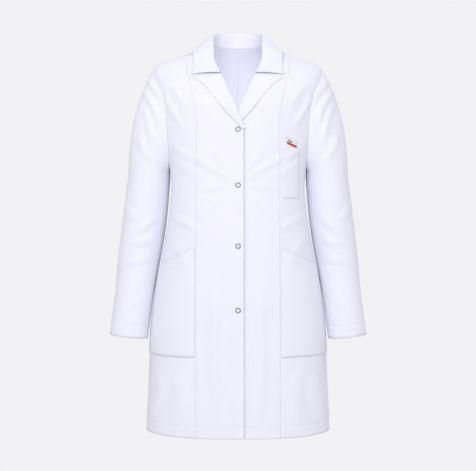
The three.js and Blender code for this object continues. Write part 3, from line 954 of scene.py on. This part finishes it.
print("shaping the collar")
rollHalf = [
    onFront(float(rollX(collar["gorge"])), collar["gorge"], 0.0022),
    onFront(rollTop[0], rollTop[1], 0.0038),
    (0.053, -0.084, -0.008), (0.054, -0.050, 0.021), (0.041, -0.012, 0.034),
    (0.021, 0.002, 0.037), (0, 0.006, 0.038),
]
freeFront = ((0.100, -0.0774, 0.0022), (0.096, -0.056, 0.0022), (0.098, -0.030, 0.0048))
freeBack = ((0.5, 0.74), (0.64, 0.8), (0.8, 0.87), (1, 0.92))
freeHalf = [onFront(*spot) for spot in freeFront]
freeHalf += [onTorso(math.pi * share, v, 0.0026) for share, v in freeBack]
w = np.linspace(0, 1, collar["columns"])
rollLine = curvePoints(mirrorHalf(rollHalf), w)
freeLine = curvePoints(mirrorHalf(freeHalf), w)
half = np.minimum(w, 1 - w)
frontPart = half < 0.25
seamZ = mix(collar["gorge"], -0.0005, np.minimum(1, half / 0.25))
seamFront = onFront(rollX(seamZ) * 0.999, seamZ, -0.0002)
seamBack = torsoPoint(mix(math.pi / 2, 1.5 * math.pi, np.clip((w - 0.25) / 0.5, 0, 1)), 0)
mirrored = np.stack([np.where(w < 0.5, 1, -1), w * 0 + 1, w * 0 + 1], -1)
seamLine = np.where(frontPart[:, None], seamFront * mirrored, seamBack)
seamLine[:, 2] += 0.0004
along = np.gradient(rollLine, axis=0)
outward = np.cross(along, freeLine - rollLine)
outward /= np.linalg.norm(outward, axis=1, keepdims=True)
outward *= np.sign(np.sum(outward * (rollLine - np.array([0, -0.06, -0.15])), axis=1, keepdims=True))
rise = np.clip(np.linalg.norm(rollLine - seamLine, axis=1, keepdims=True) / 0.03, 0.04, 1)
up = np.array([0, 0, 1.0])
profile = [
    seamLine,
    mix(seamLine, rollLine, 0.45) - outward * 0.0010 * rise,
    mix(seamLine, rollLine, 0.86) - outward * 0.0020 * rise,
    rollLine + up * 0.0006 * rise,
    mix(rollLine, freeLine, 0.07) + outward * 0.0020,
    mix(rollLine, freeLine, 0.36) + outward * 0.0034,
    mix(rollLine, freeLine, 0.70) + outward * 0.0020,
    freeLine,
]
across = np.linspace(0, 1, collar["steps"] * (len(profile) - 1) + 1)
stack = np.array(profile)
fall = catmullRom(stack, across * (len(profile) - 1))
chestTree = treeOf(panelObjs["right"], panelObjs["left"], panelObjs["rightSide"], panelObjs["leftSide"])
for r, c in np.ndindex(fall.shape[:2]):
    p = fall[r, c]
    if across[r] > 0.5 and p[1] < -0.062 and p[2] < -0.010:
        hit, _ = frontHit(chestTree, p[0], p[2])
        if hit is not None:
            lift = 0.0021 + 0.0010 * float(ease((p[2] + 0.063) / 0.02))
            p[1] = min(p[1], hit.y - lift)
collarOut = np.broadcast_to(outward, fall.shape)
collarOut = np.where(across[:, None, None] > 0.5, collarOut, -collarOut * 0.2)
collarObj = sheetFrom("collar_stand_and_fall", fall, collarOut)
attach(collarObj, "coat_body")
finishCloth(collarObj, ["upper_collar", "under_collar"], cottonCollar, collar["thickness"])


# patch pockets, taken from the panel under them

hipPocket = {"mouthInner": -0.448, "mouthOuter": -0.489, "bottom": -0.675, "band": 0.020, "lift": 0.0017}
chestPocket = {"inner": 0.093, "outer": 0.130, "topInner": -0.213, "topOuter": -0.240, "bottom": -0.344}


def onPanel(name, u, z):
    grid, n = fine[name], normals[name]
    steps = panelColumns[name]
    at = np.interp(u, steps, np.arange(len(steps)))
    column = catmullRom(grid.swapaxes(0, 1), np.array([at]))[0]
    away = catmullRom(n.swapaxes(0, 1), np.array([at]))[0]
    down = np.interp(-z, -column[:, 2], np.arange(len(column)))
    k = np.clip(np.floor(down).astype(int), 0, len(column) - 2)
    t = (down - k)[:, None]
    return mix(column[k], column[k + 1], t), mix(away[k], away[k + 1], t)


print("sewing on the pockets")
pocketLines = {}
for word, side in sides:
    us = np.linspace(0.012, 0.988, 40)
    drop = np.linspace(0, 1, 56)
    points, aways = [], []
    for u in us:
        mouth = mix(hipPocket["mouthInner"], hipPocket["mouthOuter"], math.sin(u * math.pi / 2))
        z = mix(mouth, hipPocket["bottom"], drop)
        p, n = onPanel(word + "Side", u, z)
        inFrom = min(u, 1 - u) * 0.098
        below = mouth - z
        above = z - hipPocket["bottom"]
        lift = hipPocket["lift"] * ease(inFrom / 0.007) * (0.35 + 0.65 * ease(above / 0.006)) + 0.0005
        lift = lift + 0.0014 * math.sin(math.pi * u) * np.exp(-below / 0.018)
        lift = lift + 0.0004 * (1 - ease((below - hipPocket["band"]) / 0.001))
        lift = lift - 0.0005 * np.exp(-((below - hipPocket["band"] + 0.0015) / 0.0012) ** 2)
        points.append(p + n * lift[:, None])
        aways.append(n)
    patch, n = np.array(points).swapaxes(0, 1), np.array(aways).swapaxes(0, 1)
    obj = sheetFrom(word + "_hip_pocket_patch", patch, n)
    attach(obj, "coat_body")
    finishCloth(obj, [word + "_hip_pocket"])
    pocketLines[word] = (patch, n)

sideTree = treeOf(panelObjs["leftSide"])


def layOn(tree, across, down, spotAt):
    return np.array([[restOn(tree, *spotAt(u, d)) for u in across] for d in down])


def chestSpot(u, d):
    top = mix(chestPocket["topInner"], chestPocket["topOuter"], u)
    x = mix(chestPocket["inner"], chestPocket["outer"], u)
    edge = min(u * 0.037, (1 - u) * 0.037, (1 - d) * 0.12)
    gape = 0.0010 * math.sin(math.pi * u) * math.exp(-d * 12)
    return x, mix(top, chestPocket["bottom"], d), 0.0006 + 0.0007 * float(ease(edge / 0.004)) + gape


patch = layOn(sideTree, np.linspace(0, 1, 22), np.linspace(0, 1, 48), chestSpot)
chestObj = sheetFrom("chest_pocket_patch", patch, patch * 0 + np.array([0, -1, 0]))
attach(chestObj, "coat_body")
finishCloth(chestObj, ["chest_pocket"])

tag = {"x": 0.103, "z": -0.2155, "width": 0.0215, "height": 0.0135, "tilt": -22, "thickness": 0.0006}
tagTree = treeOf(panelObjs["leftSide"], chestObj)
lean = math.radians(tag["tilt"])


def tagSpot(u, d):
    x = tag["x"] + u * tag["width"] * math.cos(lean)
    z = tag["z"] + u * tag["width"] * math.sin(lean) - d * tag["height"]
    return x, z, 0.0011 + 0.0005 * abs(2 * u - 1) ** 3      # the ends curl up a little


label = layOn(tagTree, np.linspace(0, 1, 13), np.linspace(1, 0, 9), tagSpot)
tagObj = sheetFrom("woven_label", label, label * 0 + np.array([0, -1, 0]))
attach(tagObj, "coat_body")
thicken(tagObj, tag["thickness"])
tagObj.data.materials.append(tagMaterial(tag["width"], tag["height"]))
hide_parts("woven_tag")


# ring snaps: cap ring, socket, stud and back ring

snap = {
    "heights": (-0.200, -0.317, -0.444, -0.577), "steps": 48,
    "ring": [(3.7, 0.1), (3.62, 0.5), (3.85, 0.82), (4.3, 1.0), (4.85, 1.02),
            (5.4, 0.86), (5.75, 0.5), (5.8, 0.1)],
    "socket": [(0, 0.9), (2.4, 0.9), (2.9, 0.2), (3.2, 0), (4.9, 0),
              (5.3, 0.4), (5.3, 1.3), (4.9, 1.6), (0, 1.6)],
    "stud": [(0, 0), (5.0, 0), (5.3, 0.25), (5.0, 0.5), (2.6, 0.5),
            (1.9, 0.75), (2.1, 1.1), (1.7, 1.45), (0, 1.5)],
}
# piece, the frame's own part, outline, lift off the cloth, the front it sits on
snapParts = (
    ("ring", "cap", "ring", 0.0, "right_front"), ("cup", "socket", "socket", -0.0043, "right_front"),
    ("post", "stud", "stud", -0.0051, "left_front"),
    ("prongs", "back_ring", "ring", -0.0082, "left_front"),
)


def spunSnap(name, outline, closedLoop, centre, away, lift, bodyName, node):
    bm = bmesh.new()
    ringVerts = [bm.verts.new((r / 1000, 0, h / 1000)) for r, h in outline]
    pairs = list(zip(ringVerts, ringVerts[1:])) + ([(ringVerts[-1], ringVerts[0])] if closedLoop else [])
    ringEdges = [bm.edges.new(pair) for pair in pairs]
    bmesh.ops.spin(bm, geom=ringVerts + ringEdges, cent=(0, 0, 0), axis=(0, 0, 1), angle=2 * math.pi,
                   steps=snap["steps"], use_merge=True)
    bmesh.ops.remove_doubles(bm, verts=bm.verts, dist=0.000002)
    bmesh.ops.recalc_face_normals(bm, faces=bm.faces)
    turnTo = Vector((0, 0, 1)).rotation_difference(Vector(away)).to_matrix().to_4x4()
    place = Matrix.Translation(Vector(centre) + Vector(away) * lift) @ turnTo
    bmesh.ops.transform(bm, matrix=place, verts=bm.verts)
    for face in bm.faces:
        face.smooth = True
    obj = addObject(name, bm)
    obj.data.materials.append(snapMetal)
    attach(obj, bodyName)
    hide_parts(node)
    return obj


print("setting the snaps")
rightTree = treeOf(panelObjs["right"])
for k, z in enumerate(snap["heights"]):
    turn, v = frontSpot(0.0, z)
    away = torsoNormal(turn, v)
    centre = torsoPoint(turn, v)
    shown = np.array([0, restOn(rightTree, 0.0, z, 0)[1], z])
    for part, node, outline, lift, owner in snapParts:
        at = shown if part == "ring" else centre
        spunSnap(f"snap_{part}_{k + 1}", snap[outline], outline == "ring", at, away, lift, owner,
                 f"snap_{node}_{k + 1}")


# sewing thread, two plies twisted, with painted shade darkening the grooves between the plies
def makeThreadWithGrooveShade():
    mat, nodes, links, shader = newMaterial("sewingThread")
    place = nodes.new("ShaderNodeTexCoord")
    twistAndGrooveShade = nodes.new("ShaderNodeTexWave")
    twistAndGrooveShade.bands_direction = "DIAGONAL"
    twistAndGrooveShade.inputs["Scale"].default_value = 900
    links.new(place.outputs["Object"], twistAndGrooveShade.inputs["Vector"])
    # painted shade: the colour goes darker where the twist bump sinks, in the grooves between the plies
    addRamp(nodes, links, twistAndGrooveShade.outputs["Fac"], (0.74, 0.75, 0.81), (0.90, 0.905, 0.95),
            shader.inputs["Base Color"])
    addBump(nodes, links, twistAndGrooveShade.outputs["Fac"], 0.4, 0.0001, shader.inputs["Normal"])
    shader.inputs["Roughness"].default_value = 0.6
    shader.inputs["Sheen Weight"].default_value = 0.1
    return mat


threadMaterial = makeThreadWithGrooveShade()


# rows of stitches

stitch = {"pitch": 0.0030, "length": 0.0011, "width": 0.00030, "sunk": 0.00006}


def sewRow(name, lines):
    bm = bmesh.new()
    for line, aways in lines:
        lengths = runLengths(np.linalg.norm(np.diff(line, axis=0), axis=1))
        at = np.arange(stitch["pitch"], lengths[-1] - stitch["pitch"] / 2, stitch["pitch"])
        centres = np.stack([np.interp(at, lengths, line[:, k]) for k in range(3)], -1)
        ahead = np.stack([np.interp(at + 0.0005, lengths, line[:, k]) for k in range(3)], -1) - centres
        up = np.stack([np.interp(at, lengths, aways[:, k]) for k in range(3)], -1)
        for centre, go, n in zip(centres, ahead, up):
            x = Vector(go).normalized()
            z = Vector(n)
            z = (z - x * z.dot(x)).normalized()
            y = z.cross(x)
            spot = Vector(centre) + z * stitch["sunk"]
            frameOf = np.eye(4)
            axes = (x * stitch["length"], y * stitch["width"], z * stitch["width"], spot)
            frameOf[:3] = np.array([tuple(axis) for axis in axes]).T
            bmesh.ops.create_icosphere(bm, subdivisions=1, radius=1, matrix=Matrix(frameOf))
    for face in bm.faces:
        face.smooth = True
    obj = addObject(name, bm)
    obj.data.materials.append(threadMaterial)
    return obj


def gridLine(name, above):
    grid, n = fine[name], normals[name]
    down = gridLengths(grid)[1]
    at = np.array([(1 - above / down)])
    index = np.interp(at, panelRows[name], np.arange(len(panelRows[name])))
    return catmullRom(grid, index)[0], catmullRom(n, index)[0]


print("stitching")
for word, side in sides:
    rideFront(sewRow(word + "_front_stitches", [gridLine(word + "Front", hemTurn)]))
    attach(sewRow(word + "_cuff_stitches", [gridLine(word + "Sleeve", cuffTurn)]), word + "_sleeve")
    lines = [gridLine(word + "Side", hemTurn), gridLine(word + "Back", hemTurn)]
    patch, n = pocketLines[word]
    mouthRow = int(round(hipPocket["band"] / 0.2 * (patch.shape[0] - 1)))
    for r in (mouthRow, patch.shape[0] - 2):
        lines.append((patch[r], n[r]))
    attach(sewRow(word + "_body_stitches", lines), "coat_body")


# studio: camera, soft lights and a pale floor

studio = {
    "camera": (0, -2.168, -0.422), "lens": 72.2, "backdrop": (0.887, 0.887, 0.905),
    "ambient": 0.72,
    "key": {"at": (-0.6, -2.5, 1.3), "size": 1.4, "power": 30},
    "fill": {"at": (0.9, -3.0, 0.5), "size": 1.8, "power": 12},
    "rear": {"at": (0.9, 2.3, 0.9), "size": 1.6, "power": 26},
    "inner": {"at": (0, -0.09, -0.27), "radius": 0.03, "power": 0.33},
    "floorZ": -1.6, "floorRadius": 2.4,
}
print("lighting the studio")
cameraData = bpy.data.cameras.new("studioCamera")
cameraData.lens = studio["lens"]
cameraData.sensor_width = 36
cameraObj = linkObject("studioCamera", cameraData)
cameraObj.location = studio["camera"]
cameraObj.rotation_euler = (math.pi / 2, 0, 0)
bpy.context.scene.camera = cameraObj

for lampName in ("key", "fill", "rear"):
    lamp = studio[lampName]
    data = bpy.data.lights.new(lampName, "AREA")
    data.shape = "DISK"
    data.size = lamp["size"]
    data.energy = lamp["power"]
    obj = linkObject(lampName, data)
    obj.location = lamp["at"]
    aim = Vector((0, -0.07, -0.42)) - Vector(lamp["at"])
    obj.rotation_euler = aim.to_track_quat("-Z", "Y").to_euler()

# a soft lamp inside the hollow coat, low enough to stay out of sight through the neck
inner = studio["inner"]
innerData = bpy.data.lights.new("inner", "POINT")
innerData.energy = inner["power"]
innerData.shadow_soft_size = inner["radius"]
innerObj = linkObject("inner", innerData)
innerObj.location = inner["at"]
innerObj.visible_camera = False

world = bpy.data.worlds.new("studioLight")
world.use_nodes = True
nodes, links = world.node_tree.nodes, world.node_tree.links
lit = nodes["Background"]
seen = nodes.new("ShaderNodeBackground")
toCamera = nodes.new("ShaderNodeLightPath")
choose = nodes.new("ShaderNodeMixShader")
lit.inputs["Strength"].default_value = studio["ambient"]
links.new(toCamera.outputs["Is Camera Ray"], choose.inputs["Fac"])
for slotNumber, sky in ((1, lit), (2, seen)):
    sky.inputs["Color"].default_value = (*studio["backdrop"], 1)
    links.new(sky.outputs["Background"], choose.inputs[slotNumber])
links.new(choose.outputs["Shader"], nodes["World Output"].inputs["Surface"])
scene.world = world
scene.view_settings.view_transform = "Standard"

bm = bmesh.new()
bmesh.ops.create_circle(bm, cap_ends=True, segments=96, radius=studio["floorRadius"],
                        matrix=Matrix.Translation((0, 0, studio["floorZ"])))
floor = addObject("studioFloor", bm)
floorMat, _, _, floorShader = newMaterial("paleFloor")
floorShader.inputs["Base Color"].default_value = (0.82, 0.82, 0.835, 1)
floorShader.inputs["Roughness"].default_value = 0.9
floor.data.materials.append(floorMat)

print("coat finished")
